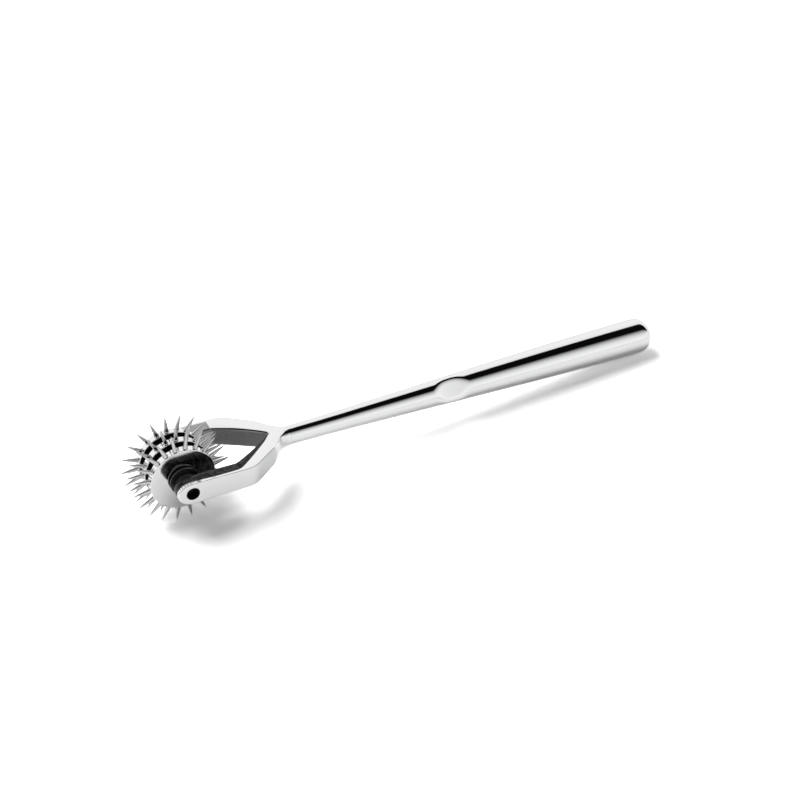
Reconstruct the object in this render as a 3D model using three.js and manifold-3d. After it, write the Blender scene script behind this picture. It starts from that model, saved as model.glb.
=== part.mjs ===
// Neurological pinwheel with three rows of spikes, standing on its spikes and the end of its handle.
// Millimetres, +Z up, +X towards the end of the handle, the axle along Y.
// The fork and the handle are drawn in the tool's own frame: x along the handle from the axle, y across, z up.
// That frame is then tipped about the axle until the end of the handle meets the table.
import * as THREE from "three";
import { mergeVertices } from "three/addons/utils/BufferGeometryUtils.js";
import Module from "manifold-3d";

const wasm = await Module();
wasm.setup();

// The wheel: spiked discs on a hub, with spacers between them
const discCount = 3;
const spikesPerDisc = 20;
const tipRadius = 15;
const rimRadius = 9.7;
const rimChamfer = 0.25;
const discThickness = 2.35;
const discGap = 2.35;
const spacerRadius = 6.3;
const hubWall = 1.3;
const hubProud = 0.35;
const firstSpikeAngle = THREE.MathUtils.degToRad(5.5);
const rowStagger = THREE.MathUtils.degToRad(5.6);

// One spike: a thin thorn with a flared root. Each row is a share of its height and of its root radius.
const spikeRootRadius = 0.62;
const spikeRootDepth = 0.5;
const spikeSides = 6;
const spikeShares = [
  [0, 1.3],
  [0.05, 1],
  [0.25, 0.8],
  [0.62, 0.45],
];

// The axle and what sits on it beside the wheel
const axleRadius = 1.9;
const axleRecess = 2.6;
const axleChamfer = 0.3;
const washerRadius = 4.3;
const washerThickness = 0.6;
const collarRadius = 3.1;
const collarLength = 1.885;

// The fork
const armThickness = 4.5;
const pivotHeight = 6.8;
const bendHeight = 6.4;
const crownHeight = 5.9;
const tipReach = 4.4;
const bendReach = 18.8;
const bendLead = 4.4;
const bendSoftness = 2.2;
const throatLead = 1.7;
const throatLength = 9.5;
const crotchEase = 0.8;
const crownLength = 5.2;
const neckLength = 1.2;
const neckRadius = 2.9;
const neckBlend = 7.2;
const shoulderSwell = 5;
const edgeBreak = 0.3;
const armTopFlat = 0.9;
const armInnerDrop = 0.5;
const crownRounding = 0.5;

// The handle
const handleReach = 158.3;
const gripRadius = 5.5;
const endCapDepth = 4.6;
const spigotRadius = 1.6;
const socketWall = 2.7;
const flatCentre = 86.7;
const flatDepth = 1.5;
const flatLength = 0.8;
const flatRunOut = 8.5;
const flatAngle = THREE.MathUtils.degToRad(147);

// Each row is a share of the grip's length and, from the neck's radius to the grip's, of the swell.
const swellShares = [
  [0, 0],
  [0.07, 0.03],
  [0.28, 0.28],
  [0.44, 0.5],
  [0.57, 0.67],
  [0.72, 0.84],
  [0.87, 0.955],
];

// Clearances
const pressClearance = 0.04;
const runningClearance = 0.08;
const seatClearance = 0.02;
const endPlay = 0.15;
const overrun = 3;

// How finely round things are drawn
const roundSides = 36;
const capSteps = 7;
const bendSteps = 16;
const cornerSteps = 4;

const steel = { color: 0xd2d3d5, roughness: 0.12, metalness: 1 };
const darkSteel = { color: 0x8c8e92, roughness: 0.3, metalness: 1 };

// A geometry as a solid that can be joined and cut
function solidOf(geometry) {
  const bare = new THREE.BufferGeometry();
  bare.setAttribute("position", geometry.getAttribute("position"));
  bare.setIndex(geometry.getIndex());
  const merged = mergeVertices(bare, edgeBreak / 1000);
  return new wasm.Manifold(
    new wasm.Mesh({
      numProp: 3,
      vertProperties: merged.getAttribute("position").array,
      triVerts: new Uint32Array(merged.getIndex().array),
    }),
  );
}

function geometryOf(solid) {
  const mesh = solid.getMesh();
  const geometry = new THREE.BufferGeometry();
  geometry.setAttribute("position", new THREE.BufferAttribute(mesh.vertProperties, 3));
  geometry.setIndex(new THREE.BufferAttribute(mesh.triVerts, 1));
  geometry.computeVertexNormals();
  return geometry;
}

function piece(name, geometry, finish) {
  const mesh = new THREE.Mesh(geometry, new THREE.MeshStandardMaterial(finish));
  mesh.name = name;
  return mesh;
}

// A profile of [radius, place] pairs turned about X
function turnedAlongX(profile, sides = roundSides) {
  const points = profile.map(([radius, place]) => new THREE.Vector2(radius, place));
  return new THREE.LatheGeometry(points, sides).rotateZ(-Math.PI / 2);
}

// A profile of [radius, place] pairs turned about Y
function turnedAlongY(profile, sides = roundSides) {
  const points = profile.map(([radius, place]) => new THREE.Vector2(radius, place));
  return new THREE.LatheGeometry(points, sides);
}

// A ring about Y, from one place to another, with a chamfer on its outer edges
function ring(inner, outer, from, to, chamfer) {
  return turnedAlongY([
    [inner, from],
    [outer - chamfer, from],
    [outer, from + chamfer],
    [outer, to - chamfer],
    [outer - chamfer, to],
    [inner, to],
    [inner, from],
  ]);
}

// Places along the axle, outwards from the middle of the wheel
const discPitch = discThickness + discGap;
const drumHalf = ((discCount - 1) * discPitch + discThickness) / 2;
const hubHalf = drumHalf + hubProud;
const washerStart = hubHalf + endPlay;
const collarStart = washerStart + washerThickness + seatClearance;
const collarEnd = collarStart + collarLength;
const armInner = collarEnd + seatClearance;
const forkHalfWidth = armInner + armThickness;

const hubBore = axleRadius + runningClearance;
const hubRadius = hubBore + hubWall;
const seatBore = hubRadius + pressClearance;
const trimBore = axleRadius + pressClearance;
const armBore = axleRadius + pressClearance;

// Places along the fork, from the axle to the end of its neck
const bendStart = bendReach - bendLead;
const crotchReach = bendReach + throatLength;
const shoulderReach = crotchReach + crownLength;
const neckReach = shoulderReach + neckLength;
const spigotLength = crownLength + neckLength - socketWall;

// One spike standing on the rim along +X, its root sunk in the rim
function spike() {
  const length = tipRadius - rimRadius;
  const rows = spikeShares.map(([along, wide]) => [wide * spikeRootRadius, rimRadius + along * length]);
  const root = [spikeShares[0][1] * spikeRootRadius, rimRadius - spikeRootDepth];
  return turnedAlongX([[0, root[1]], root, ...rows, [0, tipRadius]], spikeSides);
}

// A disc and its ring of spikes, at its place along the axle
function spikedDisc(row) {
  const place = (row - (discCount - 1) / 2) * discPitch;
  const start = firstSpikeAngle + row * rowStagger;
  const half = discThickness / 2;
  let disc = solidOf(ring(seatBore, rimRadius, place - half, place + half, rimChamfer));
  for (let i = 0; i < spikesPerDisc; i += 1) {
    const angle = start + (i * 2 * Math.PI) / spikesPerDisc;
    disc = disc.add(solidOf(spike().rotateY(-angle).translate(0, place, 0)));
  }
  return geometryOf(disc);
}

function buildWheel() {
  const wheel = new THREE.Group();
  const rowNames = ["near_spiked_disc", "middle_spiked_disc", "far_spiked_disc"];
  rowNames.forEach((name, row) => wheel.add(piece(name, spikedDisc(row), steel)));
  const spacerHalf = discGap / 2 - seatClearance;
  for (const [name, place] of [["near_disc_spacer", -discPitch / 2], ["far_disc_spacer", discPitch / 2]]) {
    const spacer = ring(seatBore, spacerRadius, place - spacerHalf, place + spacerHalf, rimChamfer);
    wheel.add(piece(name, spacer, darkSteel));
  }
  wheel.add(piece("hub_sleeve", ring(hubBore, hubRadius, -hubHalf, hubHalf, rimChamfer), steel));
  return wheel;
}

// The section of an arm at one station, as [share of the way from outer face to inner face, height] pairs
function armSection(thickness, height, flat, drop) {
  const half = height / 2;
  const points = [
    [0, -half + edgeBreak],
    [edgeBreak, -half],
  ];
  const across = thickness - edgeBreak - flat;
  for (let i = 0; i <= cornerSteps; i += 1) {
    const turn = ((i / cornerSteps) * Math.PI) / 2;
    points.push([edgeBreak + flat + across * Math.sin(turn), -half + drop * (1 - Math.cos(turn))]);
  }
  const lower = points.slice();
  for (const [along, z] of lower.reverse()) {
    points.push([along, -z]);
  }
  return points;
}

// A loft of the arm's section from past the tip, round the bend and into the crown, on the side -1 or 1
function arm(side) {
  const outer = new THREE.Path();
  outer.moveTo(bendStart, forkHalfWidth);
  const slope = new THREE.Vector2(shoulderReach - bendReach, neckRadius - forkHalfWidth).normalize();
  outer.lineTo(bendReach - bendSoftness, forkHalfWidth);
  outer.quadraticCurveTo(
    bendReach,
    forkHalfWidth,
    bendReach + bendSoftness * slope.x,
    forkHalfWidth + bendSoftness * slope.y,
  );
  outer.lineTo(shoulderReach, neckRadius);
  outer.lineTo(shoulderReach, 0);
  const inner = new THREE.Path();
  inner.moveTo(bendStart, armInner);
  inner.bezierCurveTo(bendStart + throatLead, armInner, crotchReach, crotchEase, crotchReach, 0);

  const stations = [-tipReach - overrun, 0, bendStart / 2].map((x) => ({
    out: new THREE.Vector2(x, forkHalfWidth),
    in: new THREE.Vector2(x, armInner),
    height: x < 0 ? pivotHeight : THREE.MathUtils.lerp(pivotHeight, bendHeight, x / bendReach),
    roundness: 0,
  }));
  const outerPoints = outer.getSpacedPoints(bendSteps);
  const innerPoints = inner.getSpacedPoints(bendSteps);
  outerPoints.forEach((point, i) => {
    const run = i / bendSteps;
    const toBend = Math.min(point.x / bendReach, 1);
    const toCrown = Math.max((point.x - bendReach) / (shoulderReach - bendReach), 0);
    stations.push({
      out: point,
      in: innerPoints[i],
      height: toBend < 1
        ? THREE.MathUtils.lerp(pivotHeight, bendHeight, toBend)
        : THREE.MathUtils.lerp(bendHeight, crownHeight, toCrown),
      roundness: Math.min(2 * run, 1),
    });
  });

  const vertices = [];
  let count = 0;
  for (const station of stations) {
    const thickness = station.out.distanceTo(station.in);
    const flat = THREE.MathUtils.lerp(armTopFlat, thickness - edgeBreak - crownRounding, station.roundness);
    const drop = THREE.MathUtils.lerp(armInnerDrop, crownRounding, station.roundness);
    const section = armSection(thickness, station.height, flat, drop);
    count = section.length;
    for (const [along, z] of section) {
      const spot = station.out.clone().lerp(station.in, along / thickness);
      vertices.push(spot.x, side * spot.y, z);
    }
  }
  const faces = [];
  const addFace = (a, b, c) => faces.push(...(side < 0 ? [a, b, c] : [a, c, b]));
  for (let s = 0; s + 1 < stations.length; s += 1) {
    for (let i = 0; i < count; i += 1) {
      const j = (i + 1) % count;
      const a = s * count;
      const b = a + count;
      addFace(a + i, a + j, b + j);
      addFace(a + i, b + j, b + i);
    }
  }
  const last = (stations.length - 1) * count;
  for (let i = 1; i + 1 < count; i += 1) {
    addFace(0, i + 1, i);
    addFace(last, last + i, last + i + 1);
  }
  const geometry = new THREE.BufferGeometry();
  geometry.setAttribute("position", new THREE.BufferAttribute(new Float32Array(vertices), 3));
  geometry.setIndex(faces);
  return solidOf(geometry);
}

// The outline that rounds the ends of the arms, seen from the side
function tipEnvelope() {
  const half = pivotHeight / 2;
  const outline = new THREE.Shape();
  outline.moveTo(0, half);
  outline.absellipse(0, 0, tipReach, half, Math.PI / 2, (3 * Math.PI) / 2, false);
  outline.lineTo(0, -half - overrun);
  outline.lineTo(neckReach + overrun, -half - overrun);
  outline.lineTo(neckReach + overrun, half + overrun);
  outline.lineTo(0, half + overrun);
  const width = 2 * (forkHalfWidth + overrun);
  const slab = new THREE.ExtrudeGeometry(outline, { depth: width, bevelEnabled: false, curveSegments: roundSides / 2 });
  return solidOf(slab.translate(0, 0, -width / 2).rotateX(Math.PI / 2));
}

// A trumpet about the handle's axis, which trims the crown's corners down to the round neck
function neckEnvelope() {
  const wide = forkHalfWidth + pivotHeight;
  const profile = [
    [0, -tipReach - overrun],
    [neckRadius + 4 * shoulderSwell + wide, -tipReach - overrun],
  ];
  for (let i = 2 * capSteps; i >= 0; i -= 1) {
    const share = i / capSteps;
    profile.push([neckRadius + shoulderSwell * share * share, neckReach - neckBlend * share]);
  }
  profile.push([0, neckReach]);
  return solidOf(turnedAlongX(profile));
}

function buildFork() {
  const neck = turnedAlongX([
    [0, shoulderReach - crownLength / 3],
    [neckRadius, shoulderReach - crownLength / 3],
    [neckRadius, neckReach],
    [0, neckReach],
  ]);
  const socket = turnedAlongX([
    [0, neckReach - spigotLength - pressClearance],
    [spigotRadius + pressClearance, neckReach - spigotLength - pressClearance],
    [spigotRadius + pressClearance, neckReach + overrun],
    [0, neckReach + overrun],
  ]);
  const pivotBore = turnedAlongY([
    [0, -forkHalfWidth - overrun],
    [armBore, -forkHalfWidth - overrun],
    [armBore, forkHalfWidth + overrun],
    [0, forkHalfWidth + overrun],
  ]);
  const arms = arm(-1).add(arm(1)).intersect(tipEnvelope()).intersect(neckEnvelope());
  return geometryOf(arms.add(solidOf(neck)).subtract(solidOf(socket)).subtract(solidOf(pivotBore)));
}

// The ground flat for the thumb: a short flat that runs out at both ends along the wheel that cut it
function thumbFlatCutter(radiusThere) {
  const floor = radiusThere - flatDepth;
  const half = flatLength / 2;
  const outline = new THREE.Shape();
  outline.moveTo(-half, floor);
  outline.absarc(half, floor + flatRunOut, flatRunOut, -Math.PI / 2, 0, false);
  outline.lineTo(-half - flatRunOut, floor + flatRunOut);
  outline.absarc(-half, floor + flatRunOut, flatRunOut, Math.PI, (3 * Math.PI) / 2, false);
  const width = 4 * radiusThere;
  const cutter = new THREE.ExtrudeGeometry(outline, { depth: width, bevelEnabled: false, curveSegments: roundSides / 4 });
  return solidOf(cutter.translate(0, 0, -width / 2).rotateX(flatAngle).translate(flatCentre, 0, 0));
}

function buildHandle() {
  const start = neckReach + seatClearance;
  const capStart = handleReach - endCapDepth;
  const swell = gripRadius - neckRadius;
  const grip = swellShares.map(([along, full]) => [
    neckRadius + full * swell,
    THREE.MathUtils.lerp(start, capStart, along),
  ]);
  for (let i = 0; i < capSteps; i += 1) {
    const turn = ((i / capSteps) * Math.PI) / 2;
    grip.push([gripRadius * Math.cos(turn), capStart + endCapDepth * Math.sin(turn)]);
  }
  const rod = turnedAlongX([
    [0, start - spigotLength],
    [spigotRadius, start - spigotLength],
    [spigotRadius, start],
    ...grip,
    [0, handleReach],
  ]);
  const upper = swellShares.findIndex(([along]) => THREE.MathUtils.lerp(start, capStart, along) > flatCentre);
  const [lowRadius, lowPlace] = grip[upper - 1];
  const [highRadius, highPlace] = grip[upper];
  const radiusThere = THREE.MathUtils.mapLinear(flatCentre, lowPlace, highPlace, lowRadius, highRadius);
  return geometryOf(solidOf(rod).subtract(thumbFlatCutter(radiusThere)));
}

function buildAxle() {
  const half = forkHalfWidth - axleRecess;
  return turnedAlongY([
    [0, -half],
    [axleRadius - axleChamfer, -half],
    [axleRadius, -half + axleChamfer],
    [axleRadius, half - axleChamfer],
    [axleRadius - axleChamfer, half],
    [0, half],
  ]);
}

function buildFrame() {
  const frame = new THREE.Group();
  frame.add(piece("fork", buildFork(), steel));
  frame.add(piece("handle", buildHandle(), steel));
  frame.add(piece("axle_pin", buildAxle(), darkSteel));
  for (const [word, side] of [["near", -1], ["far", 1]]) {
    const washerEnds = [side * washerStart, side * (washerStart + washerThickness)].sort((a, b) => a - b);
    const collarEnds = [side * collarStart, side * collarEnd].sort((a, b) => a - b);
    frame.add(piece(word + "_thrust_washer", ring(trimBore, washerRadius, ...washerEnds, edgeBreak / 3), darkSteel));
    frame.add(piece(word + "_side_collar", ring(trimBore, collarRadius, ...collarEnds, edgeBreak / 3), darkSteel));
  }
  return frame;
}

// How far the frame tips about the axle until the handle's end touches the table under the spikes
function restingTilt(axleHeight) {
  const along = handleReach - endCapDepth;
  return Math.asin(axleHeight / Math.hypot(along, gripRadius)) - Math.atan2(gripRadius, along);
}

const pinwheel = new THREE.Group();
const tool = new THREE.Group();
const frame = buildFrame();
frame.rotation.y = restingTilt(tipRadius);
tool.add(frame, buildWheel());
pinwheel.add(tool);

// The origin is under the middle of the whole tool, on the table
const reach = new THREE.Box3().setFromObject(pinwheel, true);
const middle = reach.getCenter(new THREE.Vector3());
tool.position.set(-middle.x, -middle.y, -reach.min.z);

export default pinwheel;
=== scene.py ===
"""The looks of the pinwheel: fine meshes in place of the faceted solids, polished steel, a white table
and soft studio light.

Lengths are in millimetres until place() turns them into metres in the shared frame. The fork and handle are
drawn with x along the handle from the axle, y across and z up, and are then tipped about the axle.
"""
import math

import bpy
import numpy as np
from mathutils import Matrix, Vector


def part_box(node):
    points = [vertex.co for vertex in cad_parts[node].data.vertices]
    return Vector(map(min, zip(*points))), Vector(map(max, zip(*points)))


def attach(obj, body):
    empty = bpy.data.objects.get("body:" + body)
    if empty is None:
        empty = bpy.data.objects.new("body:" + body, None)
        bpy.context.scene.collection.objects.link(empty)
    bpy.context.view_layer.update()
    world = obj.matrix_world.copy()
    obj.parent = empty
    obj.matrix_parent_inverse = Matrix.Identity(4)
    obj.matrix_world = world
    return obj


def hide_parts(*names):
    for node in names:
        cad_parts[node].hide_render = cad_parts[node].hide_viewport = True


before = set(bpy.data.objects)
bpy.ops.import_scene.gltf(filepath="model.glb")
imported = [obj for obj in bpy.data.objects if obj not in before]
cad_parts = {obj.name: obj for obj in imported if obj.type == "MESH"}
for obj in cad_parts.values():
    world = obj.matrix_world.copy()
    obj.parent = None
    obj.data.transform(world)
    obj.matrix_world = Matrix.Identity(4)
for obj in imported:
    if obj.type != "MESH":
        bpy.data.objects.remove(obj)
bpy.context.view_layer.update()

MM = 0.001

# The wheel. The walls of its gaps are darkened with painted shade, but for a polished strip at the rim.
ROWS = 3
SPIKES = 20
TIP_RADIUS = 15.0
RIM_RADIUS = 9.7
DISC_THICKNESS = 2.35
DISC_PITCH = 4.7
RIM_ROUNDING = 0.22
SEAT_BORE = 3.32
FIRST_SPIKE = math.radians(5.5)
STAGGER = math.radians(5.6)
POLISHED_STRIP = 0.2
DISC_SIDES = 240

# One spike: share of its height, and its radius. Its flared root follows the curve of the rim.
SPIKE_PROFILE = [
    (-0.012, 0.95), (-0.004, 0.88), (0.004, 0.82), (0.014, 0.77), (0.028, 0.73), (0.05, 0.7), (0.08, 0.675),
    (0.13, 0.645), (0.2, 0.61), (0.29, 0.565), (0.38, 0.52), (0.47, 0.47), (0.56, 0.415), (0.65, 0.355),
    (0.74, 0.285), (0.82, 0.215), (0.89, 0.145), (0.94, 0.095), (0.975, 0.055), (0.993, 0.03),
]
ROOT_SHARE = 0.12
ROOT_DEPTH = 0.3
SPIKE_SIDES = 28

# The pieces on the axle: the hub's bore, which runs free, and the bore of the fork, washers and collars
RUNNING_BORE = 1.98
AXLE_BORE = 1.94
TURNED_SIDES = 96

# How near a face lies to a disc's side, or to the fork's bore, to count as part of it
SIDE_TOLERANCE = 0.01
BORE_TOLERANCE = 0.03

# The largest share of an edge that a rounded corner takes
CORNER_SHARE = 0.45

# The fork
HALF_WIDTH = 13.4
ARM_THICKNESS = 4.5
PIVOT_HEIGHT = 6.8
BEND_HEIGHT = 6.4
CROWN_HEIGHT = 5.9
TIP_REACH = 4.4
BEND_START = 14.4
BEND_REACH = 18.8
THROAT_LEAD = 1.7
CROTCH_REACH = 28.3
CROTCH_EASE = 0.8
SHOULDER_REACH = 33.5
NECK_REACH = 34.7
NECK_RADIUS = 2.9
NECK_ROOT = 2.0
NECK_BLEND = 7.2
SHOULDER_SWELL = 5.0

# The slope of its top towards the opening: its width on the arms and at the crown, its drop on the arms,
# the further drop at the crown, and where the one goes over into the other
ARM_SLOPE_WIDTH = 3.2
CROWN_SLOPE_WIDTH = 0.9
ARM_SLOPE_DROP = 0.5
FURTHER_DROP = 0.1
SLOPE_CHANGE = (BEND_START - 1, BEND_START + 10)

# How softly its surfaces meet
BEND_EASE = 1.3
EDGE_EASE = 0.42
CROWN_EASE = 0.5
NECK_EASE = 0.35
BORE_EASE = 0.16

# Its margin beside the opening, darkened with painted shade and painted dark reflection: the width at places
# along the fork, and down the wall alone.
# The far arm gets less of the painted shade than the near one.
MARGIN_PLACES = (-4.0, 2.0, 8.0, 14.0, 17.6, 20.0, 23.0, 26.0, 28.0)
MARGIN_WIDTHS = (3.2, 3.4, 3.7, 3.6, 2.6, 2.15, 1.6, 1.1, 0.5)
MARGIN_WALL = 0.15
MARGIN_FADE = 0.1
FAR_PAINTED_SHADE = 0.62

# The grid that its surface is found on, and how far the grid reaches past it
GRID = 0.17
GRID_MARGIN = 0.6

# Points near its surface are moved onto it: the step that measures a slope, the least slope's square that is
# believed, the longest move, and how many moves
SLOPE_STEP = 0.015
LEAST_SLOPE = 0.05
LONGEST_MOVE = 0.3 * GRID
MOVES = 3

# The sharp edge where the neck meets the handle: how far round it points are drawn to it
EDGE_ALONG = 1.3 * GRID
EDGE_ACROSS = 1.5 * GRID

# The handle
HANDLE_REACH = 158.3
GRIP_RADIUS = 5.5
CAP_DEPTH = 4.6
SEAT_GAP = 0.02
SWELL = [(0, 0), (0.07, 0.03), (0.28, 0.28), (0.44, 0.5), (0.57, 0.67), (0.72, 0.84), (0.87, 0.955), (1, 1)]
HANDLE_SIDES = 180
GRIP_RINGS = 90
FLAT_RINGS = 110
CAP_RINGS = 25
FIRST_RING_STEP = 0.02
CLOSE_RINGS_MARGIN = 0.5

# The thumb flat, a shallow scoop ground in the handle
FLAT_CENTRE = 86.7
FLAT_DEPTH = 1.5
FLAT_HALF = 0.4
FLAT_RUN_OUT = 8.5
FLAT_ANGLE = math.radians(147)
FLAT_EASE = 0.9
FLAT_FACING = 0.2
NO_FLAT = 99

# The colours of the steel: polished; on the spikes, darker as painted dark reflection; painted shade in the
# wheel's gaps and on the turned pieces; and deeper painted shade in the bores
BRIGHT = (0.86, 0.862, 0.868)
SPIKE_SHADE_COLOUR = (0.6, 0.602, 0.607)
GAP_SHADE_COLOUR = (0.07, 0.07, 0.07)
BORE_SHADE_COLOUR = (0.04, 0.04, 0.04)

# The polish: its haze, how far the hairlines are drawn out, how deep they are in metres, and the part of
# their noise that makes the steel smoother or rougher
HAZE_SCALE = 140.0
HAIRLINE_STRETCH = 0.06
HAIRLINE_DEPTH = 0.00002
POLISH_RANGE = (0.12, 0.42)

# The painted shade and painted dark reflection on the fork: its mottling, its palest tone and its roughness
MOTTLING_SCALE = 900.0
MOTTLING_RANGE = (0.35, 0.68)
PAINTED_SHADE_TONE = 0.06
PAINTED_SHADE_ROUGHNESS = 0.28

# The table, in metres. The camera sees its paper brighter than the steel does, because the photograph is
# overexposed.
TABLE_SIZE = 2.2
TABLE_PLACE = (0.1, 0.3, 0)
PAPER = 0.95
PAPER_SEEN = 1.8

# The room: its brightness at angles over the tool, from the front at 0 degrees to the back at 180.
# A dark band hangs overhead, and the table gets a part of the room's light.
ROOM = [
    (0, 1.0), (12, 1.0), (25, 0.9), (38, 0.72), (50, 0.42), (64, 0.003),
    (108, 0.003), (112, 0.9), (140, 1.0), (172, 1.0), (180, 0.6),
]
ROOM_ON_TABLE = 0.63

# The lamps: name, place and width in metres, and watts
LAMPS = [
    ("high_softbox", (-0.43, 0.4, 1.2), 0.7, 8.2),
    ("back_softbox", (-0.3, 1.0, 0.95), 1.0, 10.7),
]

# The camera, found by fitting the photograph's circles and axes. Its place is in metres.
CAMERA_PLACE = (-0.18998, -0.40018, 0.34688)
CAMERA_RIGHT = (0.8891, -0.4557, -0.0414)
CAMERA_UP = (0.3049, 0.5224, 0.7963)
LENS = 84.4

hub_low, hub_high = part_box("hub_sleeve")
CENTRE = np.array((hub_low + hub_high) / 2) / MM
CAP_START = HANDLE_REACH - CAP_DEPTH
TILT = math.asin(TIP_RADIUS / math.hypot(CAP_START, GRIP_RADIUS)) - math.atan2(GRIP_RADIUS, CAP_START)


# Meshes

def place(points, tipped):
    """Points in millimetres about the axle as points in metres in the shared frame."""
    p = np.asarray(points, float)
    if tipped:
        c, s = math.cos(TILT), math.sin(TILT)
        p = np.column_stack([p[:, 0] * c + p[:, 2] * s, p[:, 1], -p[:, 0] * s + p[:, 2] * c])
    return (p + CENTRE) * MM


def vertex_normals(points, faces):
    """Normals weighted by area, so that a wide flat face stays flat up to its rounded edge."""
    total = np.zeros_like(points)
    for size in (3, 4):
        some = np.array([f for f in faces if len(f) == size], int)
        if len(some) == 0:
            continue
        corners = points[some]
        if size == 3:
            normal = np.cross(corners[:, 1] - corners[:, 0], corners[:, 2] - corners[:, 0])
        else:
            normal = np.cross(corners[:, 2] - corners[:, 0], corners[:, 3] - corners[:, 1])
        for column in range(size):
            np.add.at(total, some[:, column], normal)
    return total / np.maximum(np.linalg.norm(total, axis=1, keepdims=True), 1e-12)


def add_piece(name, points, faces, nodes, body, materials,
              tipped=True, normals=None, material_of=None, painted_shade=None):
    """One object made of points and faces, riding on a body and standing for the named nodes."""
    world = place(points, tipped)
    mesh = bpy.data.meshes.new(name)
    mesh.from_pydata([tuple(p) for p in world], [], [tuple(int(i) for i in f) for f in faces])
    mesh.polygons.foreach_set("use_smooth", [True] * len(mesh.polygons))
    if normals is None:
        normals = vertex_normals(world, faces)
    elif tipped:
        normals = place(normals, True) / MM - CENTRE
    for material in materials:
        mesh.materials.append(material)
    if material_of is not None:
        mesh.polygons.foreach_set("material_index", [int(m) for m in material_of])
    # The share of painted shade and painted dark reflection on each point, for the material to read
    if painted_shade is not None:
        mesh.attributes.new("painted_shade", "FLOAT", "POINT").data.foreach_set("value", painted_shade)
    mesh.update()
    mesh.normals_split_custom_set_from_vertices([tuple(n) for n in normals])
    thing = bpy.data.objects.new(name, mesh)
    bpy.context.scene.collection.objects.link(thing)
    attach(thing, body)
    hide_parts(*nodes)


def turned(profile, sides):
    """A profile of (radius, place) pairs turned about Y. It closes on itself or ends on the axis."""
    closed = profile[0] == profile[-1]
    rows = profile[:-1] if closed else profile
    points, rings = [], []
    for radius, at in rows:
        if radius <= 0:
            rings.append([len(points)] * sides)
            points.append((0, at, 0))
            continue
        rings.append(list(range(len(points), len(points) + sides)))
        for i in range(sides):
            a = 2 * math.pi * i / sides
            points.append((radius * math.cos(a), at, radius * math.sin(a)))
    if closed:
        rings.append(rings[0])
    faces = []
    for low, high in zip(rings, rings[1:]):
        for i in range(sides):
            j = (i + 1) % sides
            corners = [low[i], high[i], high[j], low[j]]
            face = [c for n, c in enumerate(corners) if c != corners[n - 1]]
            if len(face) > 2:
                faces.append(face)
    return np.array(points, float), faces


def rounded(profile, radius, steps=5):
    """A closed profile with every corner rounded."""
    out = []
    corners = [np.array(p, float) for p in profile[:-1]]
    for n, corner in enumerate(corners):
        before, after = corners[n - 1], corners[(n + 1) % len(corners)]
        to_before, to_after = before - corner, after - corner
        r = min(radius, CORNER_SHARE * np.linalg.norm(to_before), CORNER_SHARE * np.linalg.norm(to_after))
        start = corner + to_before / np.linalg.norm(to_before) * r
        end = corner + to_after / np.linalg.norm(to_after) * r
        for i in range(steps + 1):
            t = i / steps
            out.append(tuple((1 - t) ** 2 * start + 2 * t * (1 - t) * corner + t * t * end))
    return out + [out[0]]


def ring_profile(inner, outer, low, high):
    return [(inner, low), (outer, low), (outer, high), (inner, high), (inner, low)]


def joined(parts):
    points, faces, start = [], [], 0
    for p, f in parts:
        points.append(p)
        faces += [[i + start for i in face] for face in f]
        start += len(p)
    return np.vstack(points), faces


def spike(angle, at):
    """A thorn on the rim. Its flared root follows the rim's curve, and its tip is slightly blunt."""
    height = TIP_RADIUS - RIM_RADIUS
    points = []
    for share, radius in SPIKE_PROFILE:
        for i in range(SPIKE_SIDES):
            a = 2 * math.pi * i / SPIKE_SIDES
            side = radius * math.sin(a)
            sag = (RIM_RADIUS - math.sqrt(RIM_RADIUS ** 2 - side ** 2)) * max(0.0, 1 - share / ROOT_SHARE)
            points.append((RIM_RADIUS + share * height - sag, radius * math.cos(a), side))
    points += [(TIP_RADIUS, 0, 0), (RIM_RADIUS - ROOT_DEPTH, 0, 0)]
    tip, root = len(points) - 2, len(points) - 1
    top = tip - SPIKE_SIDES
    around = [(i, (i + 1) % SPIKE_SIDES) for i in range(SPIKE_SIDES)]
    faces = []
    for low in range(0, top, SPIKE_SIDES):
        high = low + SPIKE_SIDES
        faces += [[low + i, low + j, high + j, high + i] for i, j in around]
    faces += [[top + i, top + j, tip] for i, j in around]
    faces += [[j, i, root] for i, j in around]
    p = np.array(points)
    c, s = math.cos(angle), math.sin(angle)
    return np.column_stack([p[:, 0] * c - p[:, 2] * s, p[:, 1] + at, p[:, 0] * s + p[:, 2] * c]), faces


# The fork as one smooth closed surface

INNER = HALF_WIDTH - ARM_THICKNESS
OPENING = np.array([
    (BEND_START, INNER), (BEND_START + THROAT_LEAD, INNER), (CROTCH_REACH, CROTCH_EASE), (CROTCH_REACH, 0),
])


def soft_min(a, b, k):
    h = np.maximum(k - np.abs(a - b), 0) / k
    return np.minimum(a, b) - h * h * k / 4


def soft_max(a, b, k):
    return -soft_min(-a, -b, k)


def smooth(low, high, x):
    t = np.clip((x - low) / (high - low), 0, 1)
    return t * t * (3 - 2 * t)


def opening_curve(t):
    """The wall of the opening past the arms' straight part, with its first and second derivatives."""
    a, b, c, d = OPENING
    u = 1 - t
    at = u ** 3 * a + 3 * u * u * t * b + 3 * u * t * t * c + t ** 3 * d
    first = 3 * (u * u * (b - a) + 2 * u * t * (c - b) + t * t * (d - c))
    second = 6 * (u * (c - 2 * b + a) + t * (d - 2 * c + b))
    return at, first, second


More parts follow.
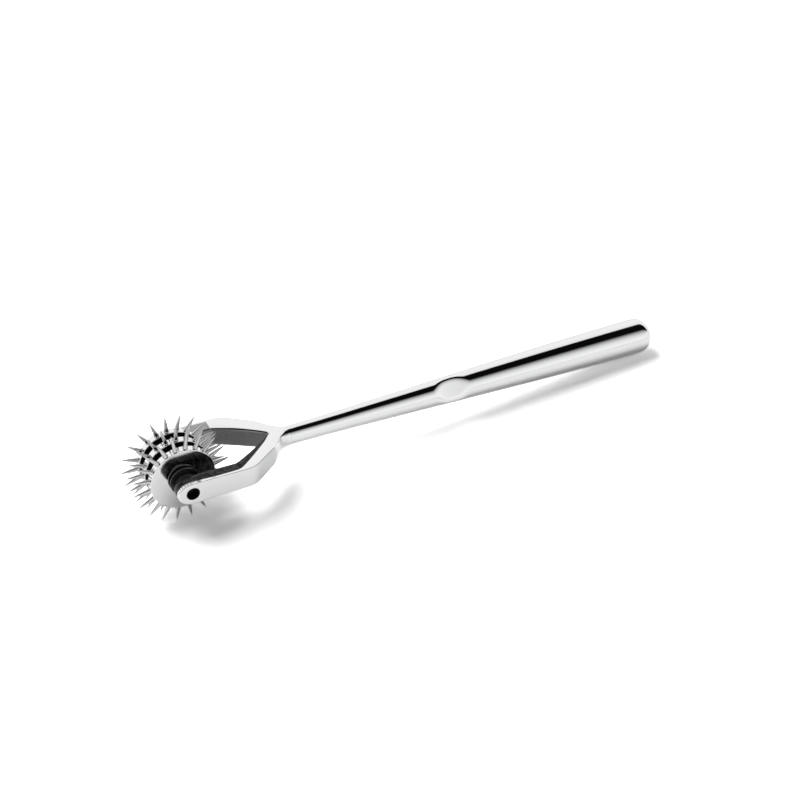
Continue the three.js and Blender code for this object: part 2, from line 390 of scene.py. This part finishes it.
def from_opening(x, y, guesses=60, batch=40000, rounds=5):
    """How far a point lies in the metal from the wall of the fork's opening, seen from above."""
    p = np.column_stack([x, y])
    shares = np.linspace(0, 1, guesses)[:, None]
    curve = opening_curve(shares)[0]
    best = np.zeros(len(p), int)
    for start in range(0, len(p), batch):
        part = p[start:start + batch]
        best[start:start + batch] = ((part[:, None, :] - curve[None]) ** 2).sum(2).argmin(1)
    t = shares[best]
    for _ in range(rounds):
        at, first, second = opening_curve(t)
        off = at - p
        slope = (first * first).sum(1) + (off * second).sum(1)
        step = (off * first).sum(1) / np.where(slope > 1e-6, slope, 1e9)
        t = np.clip(t - step[:, None], 0, 1)
    at, first, _ = opening_curve(t)
    across = np.column_stack([-first[:, 1], first[:, 0]]) / np.linalg.norm(first, axis=1, keepdims=True)
    beside = ((p - at) * across).sum(1)
    return np.where((x < BEND_START) & (t[:, 0] < 1e-6), y - INNER, beside)


def fork_depth(x, y, z, wall=None):
    """Positive inside the fork, negative outside, near enough a distance at its surface."""
    y, z = np.abs(y), np.abs(z)
    if wall is None:
        wall = from_opening(x, y)
    slope = np.array([NECK_RADIUS - HALF_WIDTH, BEND_REACH - SHOULDER_REACH])
    slope = -slope / np.linalg.norm(slope)
    sloped = (SHOULDER_REACH - x) * slope[0] + (NECK_RADIUS - y) * slope[1]
    outer = soft_min(HALF_WIDTH - y, sloped, BEND_EASE)

    half_pivot = PIVOT_HEIGHT / 2
    half = (half_pivot + (BEND_HEIGHT - PIVOT_HEIGHT) / 2 * smooth(0, BEND_REACH, x)
            + (CROWN_HEIGHT - BEND_HEIGHT) / 2 * smooth(BEND_REACH, SHOULDER_REACH, x))
    round_end = half_pivot * (1 - np.sqrt((np.minimum(x, 0) / TIP_REACH) ** 2 + (z / half_pivot) ** 2))
    top = np.where(x < 0, round_end, half - z)

    change = smooth(*SLOPE_CHANGE, x)
    wide = ARM_SLOPE_WIDTH + (CROWN_SLOPE_WIDTH - ARM_SLOPE_WIDTH) * change
    drop = ARM_SLOPE_DROP + FURTHER_DROP * change
    a, b = np.maximum(wide - wall, 0) / wide, np.maximum(drop - top, 0) / drop
    section = np.sqrt(wide * drop) * (1 - np.sqrt(a * a + b * b))
    arm = soft_min(outer, section, EDGE_EASE)

    share = (NECK_REACH - x) / NECK_BLEND
    from_axis = np.sqrt(y * y + z * z)
    trumpet = (NECK_RADIUS + SHOULDER_SWELL * share * np.abs(share) - from_axis) / np.sqrt(
        1 + (2 * SHOULDER_SWELL * share / NECK_BLEND) ** 2)
    arm = soft_min(arm, trumpet, CROWN_EASE)
    neck = np.minimum(NECK_RADIUS - from_axis, x - SHOULDER_REACH + NECK_ROOT)
    whole = np.minimum(soft_max(arm, neck, NECK_EASE), NECK_REACH - x)
    bore = np.sqrt(x * x + z * z) - AXLE_BORE
    return soft_min(whole, bore, BORE_EASE)


def fork_slope(p):
    """Which way the depth in the fork grows, and how fast."""
    steps = np.eye(3) * SLOPE_STEP
    return np.column_stack([
        (fork_depth(*(p + d).T) - fork_depth(*(p - d).T)) / (2 * SLOPE_STEP) for d in steps])


def settle_on_fork(points):
    """Points near the fork's surface, moved onto it."""
    for _ in range(MOVES):
        slope = fork_slope(points)
        size = (slope * slope).sum(1)
        move = -(fork_depth(*points.T) / np.maximum(size, LEAST_SLOPE))[:, None] * slope
        length = np.linalg.norm(move, axis=1, keepdims=True)
        points = points + move * np.minimum(1, LONGEST_MOVE / np.maximum(length, 1e-9))
    return points


def fork_values():
    """The depth in the fork at each point of a grid round it, and the grid's lowest corner."""
    low = np.array([-TIP_REACH, -HALF_WIDTH, -PIVOT_HEIGHT / 2]) - GRID_MARGIN
    high = np.array([NECK_REACH, HALF_WIDTH, PIVOT_HEIGHT / 2]) + GRID_MARGIN
    axes = [np.arange(a, b + GRID, GRID) for a, b in zip(low, high)]
    flat_x, flat_y = (g.ravel() for g in np.meshgrid(axes[0], axes[1], indexing="ij"))
    wall = from_opening(flat_x, np.abs(flat_y))
    values = np.empty([len(axis) for axis in axes])
    for k, z in enumerate(axes[2]):
        layer = fork_depth(flat_x, flat_y, np.full_like(flat_x, z), wall)
        values[:, :, k] = layer.reshape(values.shape[:2])
    return values, low


def grid_surface(values):
    """One point in each grid cell that the zero level crosses, and a face round each edge that it cuts."""
    inside = values > 0
    nx, ny, nz = values.shape
    corners = [(i, j, k) for i in (0, 1) for j in (0, 1) for k in (0, 1)]
    count = sum(inside[i:nx - 1 + i, j:ny - 1 + j, k:nz - 1 + k].astype(int) for i, j, k in corners)
    mixed = (count > 0) & (count < 8)
    index = np.full(mixed.shape, -1)
    index[mixed] = np.arange(mixed.sum())
    cells = np.argwhere(mixed)
    total, crossings = np.zeros((len(cells), 3)), np.zeros(len(cells))
    for n, a in enumerate(corners):
        for b in corners[n + 1:]:
            if sum(abs(p - q) for p, q in zip(a, b)) != 1:
                continue
            va, vb = (values[tuple((cells + c).T)] for c in (a, b))
            cut = (va > 0) != (vb > 0)
            t = np.where(cut, va / np.where(va == vb, 1, va - vb), 0)
            total += np.where(cut[:, None], np.array(a) + t[:, None] * (np.array(b) - np.array(a)), 0)
            crossings += cut

    faces = []
    for axis in range(3):
        step, one, two = np.roll(np.eye(3, dtype=int), -axis, axis=0)
        first = inside[tuple(slice(0, n - s) for n, s in zip(values.shape, step))]
        second = inside[tuple(slice(s, n) for n, s in zip(values.shape, step))]
        edges = np.argwhere(first != second)
        out = first[tuple(edges.T)]
        quad = np.column_stack([index[tuple((edges - d).T)] for d in (one + two, two, 0 * one, one)])
        faces.append(np.where(out[:, None], quad, quad[:, ::-1]))
    return cells + total / crossings[:, None], np.vstack(faces)


def fork_surface():
    """The fork's points, faces and normals. Its end at the handle is drawn to a sharp round edge."""
    values, low = fork_values()
    points, faces = grid_surface(values)
    points = settle_on_fork(points * GRID + low)
    slope = fork_slope(points)
    normals = -slope / np.maximum(np.linalg.norm(slope, axis=1, keepdims=True), 1e-9)
    from_axis = np.hypot(points[:, 1], points[:, 2])
    seam = (points[:, 0] > NECK_REACH - EDGE_ALONG) & (from_axis > NECK_RADIUS - EDGE_ACROSS)
    outward = points[seam, 1:] / from_axis[seam, None]
    points[seam, 1:] = NECK_RADIUS * outward
    normals[seam] = np.column_stack([np.zeros(seam.sum()), outward])
    return points, faces, normals


def painted_shade_mask(points):
    """1 where painted shade and painted dark reflection darken the fork's steel, beside and inside its
    opening, less on the far arm, and 0 where it stays polished.
    """
    x, y = points[:, 0], points[:, 1]
    wall = from_opening(x, np.abs(y))
    margin = np.interp(x, MARGIN_PLACES, MARGIN_WIDTHS)
    far_slope = (y > 0) & (x > BEND_START)
    margin = np.where(far_slope, MARGIN_WALL, margin)
    return np.where(y > 0, FAR_PAINTED_SHADE, 1) * (1 - smooth(margin - MARGIN_FADE, margin + MARGIN_FADE, wall))


# The handle

GRIP_START = NECK_REACH + SEAT_GAP
GRIP_X = [GRIP_START + s * (CAP_START - GRIP_START) for s, _ in SWELL]
GRIP_R = [NECK_RADIUS + s * (GRIP_RADIUS - NECK_RADIUS) for _, s in SWELL]


def hermite(x, xs, ys):
    """A smooth curve through the points, level at its first and last ones."""
    xs, ys = np.array(xs, float), np.array(ys, float)
    tangent = np.gradient(ys, xs)
    tangent[0], tangent[-1] = 0, 0
    i = np.clip(np.searchsorted(xs, x) - 1, 0, len(xs) - 2)
    h = xs[i + 1] - xs[i]
    t = (x - xs[i]) / h
    return ((2 * t ** 3 - 3 * t ** 2 + 1) * ys[i] + (t ** 3 - 2 * t ** 2 + t) * h * tangent[i]
            + (-2 * t ** 3 + 3 * t ** 2) * ys[i + 1] + (t ** 3 - t ** 2) * h * tangent[i + 1])


def grip_radius(x):
    inside = hermite(np.minimum(x, CAP_START), GRIP_X, GRIP_R)
    cap = np.clip((x - CAP_START) / CAP_DEPTH, 0, 1)
    return np.where(x > CAP_START, GRIP_RADIUS * np.sqrt(1 - cap * cap), inside)


def rings_along_handle():
    """Places of the handle's rings: even along the grip, closer at the thumb flat and round the end."""
    reach = FLAT_HALF + FLAT_RUN_OUT
    flat_start = FLAT_CENTRE - reach - CLOSE_RINGS_MARGIN
    flat_end = FLAT_CENTRE + reach + CLOSE_RINGS_MARGIN
    return np.concatenate([
        [GRIP_START],
        np.linspace(GRIP_START + FIRST_RING_STEP, flat_start, GRIP_RINGS, endpoint=False),
        np.linspace(flat_start, flat_end, FLAT_RINGS, endpoint=False),
        np.linspace(flat_end, CAP_START, GRIP_RINGS, endpoint=False),
        CAP_START + CAP_DEPTH * np.sin(np.linspace(0, math.pi / 2, CAP_RINGS, endpoint=False)),
    ])


def handle_surface():
    sides = HANDLE_SIDES
    angle = np.arange(sides) * 2 * math.pi / sides
    x, a = np.meshgrid(rings_along_handle(), angle, indexing="ij")
    floor = float(grip_radius(np.array([FLAT_CENTRE]))[0]) - FLAT_DEPTH
    off = np.abs(x - FLAT_CENTRE) - FLAT_HALF
    rise = FLAT_RUN_OUT - np.sqrt(np.maximum(FLAT_RUN_OUT ** 2 - np.maximum(off, 0) ** 2, 0))
    facing = np.cos(a - FLAT_ANGLE)
    on_flat = (facing > FLAT_FACING) & (off < FLAT_RUN_OUT)
    flat = np.where(on_flat, (floor + rise) / np.maximum(facing, FLAT_FACING), NO_FLAT)
    radius = soft_min(grip_radius(x), flat, FLAT_EASE)
    rings = np.stack([x, radius * np.cos(a), radius * np.sin(a)], -1).reshape(-1, 3)
    points = np.vstack([[(GRIP_START, 0, 0)], rings, [(HANDLE_REACH, 0, 0)]])
    end = len(points) - 1
    last = end - sides
    around = [(i, (i + 1) % sides) for i in range(sides)]
    faces = []
    for base in range(1, last, sides):
        above = base + sides
        faces += [[base + i, base + j, above + j, above + i] for i, j in around]
    for i, j in around:
        faces.append([0, 1 + j, 1 + i])
        faces.append([last + i, last + j, end])
    return points, faces


# Materials

def node_tools(tree):
    """Two functions for a tree of nodes: one adds a node and sets its values, one links two sockets."""
    def make(kind, **values):
        node = tree.nodes.new(kind)
        for name, value in values.items():
            if hasattr(node, name):
                setattr(node, name, value)
            else:
                node.inputs[name].default_value = value
        return node
    return make, tree.links.new


def ranged(tree, source, to_low, to_high, from_low=0.0, from_high=1.0):
    """A socket that carries the source's value from one range into another."""
    node = tree.nodes.new("ShaderNodeMapRange")
    ends = {"From Min": from_low, "From Max": from_high, "To Min": to_low, "To Max": to_high}
    for name, value in ends.items():
        node.inputs[name].default_value = value
    tree.links.new(source, node.inputs["Value"])
    return node.outputs["Result"]


def steel(name, color, smoothest, roughest, hairlines, bump):
    """Bare steel: a little uneven in its polish, with fine hairlines and a faint ripple in the surface."""
    material = bpy.data.materials.new(name)
    material.use_nodes = True
    tree = material.node_tree
    make, link = node_tools(tree)
    shader = tree.nodes["Principled BSDF"]
    shader.inputs["Metallic"].default_value = 1
    shader.inputs["Base Color"].default_value = (*color, 1)
    coords = make("ShaderNodeTexCoord")
    haze = make("ShaderNodeTexNoise", Scale=HAZE_SCALE, Detail=4.0, Roughness=0.6)
    link(coords.outputs["Object"], haze.inputs["Vector"])
    stretch = make("ShaderNodeMapping", Scale=(hairlines * HAIRLINE_STRETCH, hairlines, hairlines))
    link(coords.outputs["Object"], stretch.inputs["Vector"])
    lines = make("ShaderNodeTexNoise", Scale=1.0, Detail=3.0, Roughness=0.7)
    link(stretch.outputs["Vector"], lines.inputs["Vector"])
    both = make("ShaderNodeMath", operation="MULTIPLY")
    link(haze.outputs["Fac"], both.inputs[0])
    link(lines.outputs["Fac"], both.inputs[1])
    roughness = ranged(tree, both.outputs[0], smoothest, roughest, *POLISH_RANGE)
    link(roughness, shader.inputs["Roughness"])
    ripple = make("ShaderNodeBump", Strength=bump, Distance=HAIRLINE_DEPTH)
    link(lines.outputs["Fac"], ripple.inputs["Height"])
    link(ripple.outputs["Normal"], shader.inputs["Normal"])
    return material


def paint_shade(material):
    """Paints shade and dark reflection into the steel where the mesh's mask says, with mottling and a
    rougher surface.
    """
    tree = material.node_tree
    make, link = node_tools(tree)
    shader = tree.nodes["Principled BSDF"]
    painted_shade = make("ShaderNodeAttribute", attribute_name="painted_shade")
    coords = make("ShaderNodeTexCoord")
    mottling = make("ShaderNodeTexNoise", Scale=MOTTLING_SCALE, Detail=3.0, Roughness=0.6)
    link(coords.outputs["Object"], mottling.inputs["Vector"])
    tone = ranged(tree, mottling.outputs["Fac"], 0.0, PAINTED_SHADE_TONE, *MOTTLING_RANGE)
    color = make("ShaderNodeMix", data_type="RGBA")
    color.inputs["A"].default_value = shader.inputs["Base Color"].default_value
    link(painted_shade.outputs["Fac"], color.inputs["Factor"])
    link(tone, color.inputs["B"])
    link(color.outputs["Result"], shader.inputs["Base Color"])
    rough = make("ShaderNodeMix", data_type="FLOAT")
    rough.inputs["B"].default_value = PAINTED_SHADE_ROUGHNESS
    link(painted_shade.outputs["Fac"], rough.inputs["Factor"])
    link(shader.inputs["Roughness"].links[0].from_socket, rough.inputs["A"])
    link(rough.outputs["Result"], shader.inputs["Roughness"])


polished = steel("polished_steel", BRIGHT, smoothest=0.03, roughest=0.09, hairlines=9000.0, bump=0.25)
# The fork's steel, with painted shade and painted dark reflection beside and inside its opening
forged_with_painted_shade = steel("forged_steel_painted_shade", BRIGHT, smoothest=0.03, roughest=0.09, hairlines=9000.0, bump=0.25)
paint_shade(forged_with_painted_shade)
# The spikes' steel, darker than the wheel's as painted dark reflection
spike_shade_steel = steel("pointed_steel_painted_shade", SPIKE_SHADE_COLOUR, smoothest=0.06, roughest=0.16, hairlines=9000.0, bump=0.25)
# Painted shade for the walls of the wheel's gaps and for the turned pieces on the axle
gap_shade_steel = steel("turned_steel", GAP_SHADE_COLOUR, smoothest=0.3, roughest=0.5, hairlines=14000.0, bump=0.8)
# Deeper painted shade for the fork's bore and the axle pin in it
bore_shade_steel = steel("bored_steel_painted_shade", BORE_SHADE_COLOUR, smoothest=0.4, roughest=0.6, hairlines=14000.0, bump=0.8)


# Pieces

def add_disc(row, side):
    """A disc with its ring of spikes. Its sides get painted shade where they face another disc, and its
    spikes a steel darkened as painted dark reflection.
    """
    at = (row - (ROWS - 1) / 2) * DISC_PITCH
    half = DISC_THICKNESS / 2
    profile = rounded(ring_profile(SEAT_BORE, RIM_RADIUS, at - half, at + half), RIM_ROUNDING)
    plate = turned(profile, DISC_SIDES)
    plate_faces = len(plate[1])
    start = FIRST_SPIKE + row * STAGGER
    spikes = [spike(start + i * 2 * math.pi / SPIKES, at) for i in range(SPIKES)]
    points, faces = joined([plate] + spikes)
    middles = np.array([points[f].mean(0) for f in faces[:plate_faces]])
    # The faces in the gaps get painted shade, and the spikes the darker spike steel
    in_gap = np.abs(middles[:, 1] - at) > half - SIDE_TOLERANCE
    in_gap &= np.hypot(middles[:, 0], middles[:, 2]) < RIM_RADIUS - POLISHED_STRIP
    if row == 0:
        in_gap &= middles[:, 1] > at
    if row == ROWS - 1:
        in_gap &= middles[:, 1] < at
    material_of = np.concatenate([in_gap.astype(int), np.full(len(faces) - plate_faces, 2)])
    add_piece(f"{side}_disc_with_spikes", points, faces, [f"{side}_spiked_disc"], "spiked_wheel",
              [polished, gap_shade_steel, spike_shade_steel], tipped=False, material_of=material_of)


def add_turned(node, body, material, bore, corner):
    """A piece turned in a lathe, as long and as wide as its solid. Without a bore it is a rod."""
    low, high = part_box(node)
    outer = (high.z - low.z) / 2 / MM
    from_y, to_y = low.y / MM, high.y / MM
    profile = rounded(ring_profile(bore, outer, from_y, to_y), corner)
    if not bore:
        profile = [(0, from_y)] + [p for p in profile if p[0] > outer / 2] + [(0, to_y)]
    points, faces = turned(profile, TURNED_SIDES)
    add_piece(node + "_turned", points, faces, [node], body, [material], tipped=False)


def add_fork():
    points, faces, normals = fork_surface()
    middles = points[faces].mean(1)
    in_bore = np.hypot(middles[:, 0], middles[:, 2]) < AXLE_BORE + BORE_TOLERANCE
    # The bore's faces get painted shade, and the rest a mask of painted shade and painted dark reflection
    # beside the opening
    add_piece("fork_forged", points, faces.tolist(), ["fork"], "frame", [forged_with_painted_shade, bore_shade_steel],
              normals=normals, material_of=in_bore, painted_shade=painted_shade_mask(points))


def add_handle():
    points, faces = handle_surface()
    add_piece("handle_ground", points, faces, ["handle"], "frame", [polished])


for row, side in enumerate(("near", "middle", "far")):
    add_disc(row, side)
# The hub, spacers, washers and collars are darkened with painted shade, and the axle pin with the bores'
# deeper painted shade
add_turned("hub_sleeve", "spiked_wheel", gap_shade_steel, RUNNING_BORE, corner=0.2)
for side in ("near", "far"):
    add_turned(f"{side}_disc_spacer", "spiked_wheel", gap_shade_steel, SEAT_BORE, corner=0.15)
for kind in ("thrust_washer", "side_collar"):
    for side in ("near", "far"):
        add_turned(f"{side}_{kind}", "frame", gap_shade_steel, AXLE_BORE, corner=0.1)
add_turned("axle_pin", "frame", bore_shade_steel, bore=0, corner=0.3)
add_fork()
add_handle()


# The table, the light and the camera

def lay_table():
    bpy.ops.mesh.primitive_plane_add(size=TABLE_SIZE, location=TABLE_PLACE)
    table = bpy.context.object
    table.name = "white_table"
    paper = bpy.data.materials.new("white_paper")
    paper.use_nodes = True
    tree = paper.node_tree
    tree.nodes.clear()
    make, link = node_tools(tree)
    path = make("ShaderNodeLightPath")
    shade = ranged(tree, path.outputs["Is Camera Ray"], PAPER, PAPER_SEEN)
    matte = make("ShaderNodeBsdfDiffuse")
    link(shade, matte.inputs["Color"])
    output = make("ShaderNodeOutputMaterial")
    link(matte.outputs[0], output.inputs["Surface"])
    table.data.materials.append(paper)


def angle_over_tool(tree):
    """A socket that runs from 0 at the front to 1 at the back, as a direction swings over the tool."""
    make, link = node_tools(tree)
    coords = make("ShaderNodeTexCoord")
    split = make("ShaderNodeSeparateXYZ")
    link(coords.outputs["Generated"], split.inputs[0])
    front = make("ShaderNodeMath", operation="MULTIPLY")
    front.inputs[1].default_value = -1
    link(split.outputs["Y"], front.inputs[0])
    angle = make("ShaderNodeMath", operation="ARCTAN2")
    link(split.outputs["Z"], angle.inputs[0])
    link(front.outputs[0], angle.inputs[1])
    return ranged(tree, angle.outputs[0], 0.0, 1.0, from_high=math.pi)


def light_room():
    """A pale room with a dark band overhead. To the camera it is plain white."""
    world = bpy.data.worlds.new("studio")
    bpy.context.scene.world = world
    world.use_nodes = True
    tree = world.node_tree
    tree.nodes.clear()
    make, link = node_tools(tree)
    ramp = make("ShaderNodeValToRGB")
    stops = ramp.color_ramp.elements
    stops.remove(stops[0])
    for n, (degrees, brightness) in enumerate(ROOM):
        stop = stops[0] if n == 0 else stops.new(degrees / 180)
        stop.position = degrees / 180
        stop.color = (brightness, brightness, brightness, 1)
    link(angle_over_tool(tree), ramp.inputs["Fac"])
    path = make("ShaderNodeLightPath")
    backdrop = make("ShaderNodeMix", data_type="RGBA")
    backdrop.inputs["B"].default_value = (1, 1, 1, 1)
    link(path.outputs["Is Camera Ray"], backdrop.inputs["Factor"])
    link(ramp.outputs["Color"], backdrop.inputs["A"])
    sky = make("ShaderNodeBackground")
    link(backdrop.outputs["Result"], sky.inputs["Color"])
    link(ranged(tree, path.outputs["Is Diffuse Ray"], 1.0, ROOM_ON_TABLE), sky.inputs["Strength"])
    output = make("ShaderNodeOutputWorld")
    link(sky.outputs[0], output.inputs["Surface"])


def hang_lamp(name, spot, width, watts):
    """A round softbox that points at the tool. The steel doesn't mirror it."""
    lamp = bpy.data.lights.new(name, "AREA")
    lamp.shape = "DISK"
    lamp.size = width
    lamp.energy = watts
    lamp_object = bpy.data.objects.new(name, lamp)
    bpy.context.scene.collection.objects.link(lamp_object)
    lamp_object.location = spot
    lamp_object.rotation_euler = (-lamp_object.location).to_track_quat("-Z", "Y").to_euler()
    lamp_object.visible_glossy = False


def set_camera():
    camera = bpy.data.cameras.new("photo_camera")
    camera.lens = LENS
    camera.sensor_width = 36
    camera.clip_start = 0.01
    camera.clip_end = 10
    camera_object = bpy.data.objects.new("photo_camera", camera)
    bpy.context.scene.collection.objects.link(camera_object)
    right = np.array(CAMERA_RIGHT) / np.linalg.norm(CAMERA_RIGHT)
    up = np.array(CAMERA_UP) - right * np.dot(right, CAMERA_UP)
    up /= np.linalg.norm(up)
    back = np.cross(right, up)
    camera_object.matrix_world = Matrix([
        [right[0], up[0], back[0], CAMERA_PLACE[0]],
        [right[1], up[1], back[1], CAMERA_PLACE[1]],
        [right[2], up[2], back[2], CAMERA_PLACE[2]],
        [0, 0, 0, 1],
    ])
    bpy.context.scene.camera = camera_object


lay_table()
light_room()
for lamp_values in LAMPS:
    hang_lamp(*lamp_values)
set_camera()
bpy.context.scene.view_settings.view_transform = "Standard"
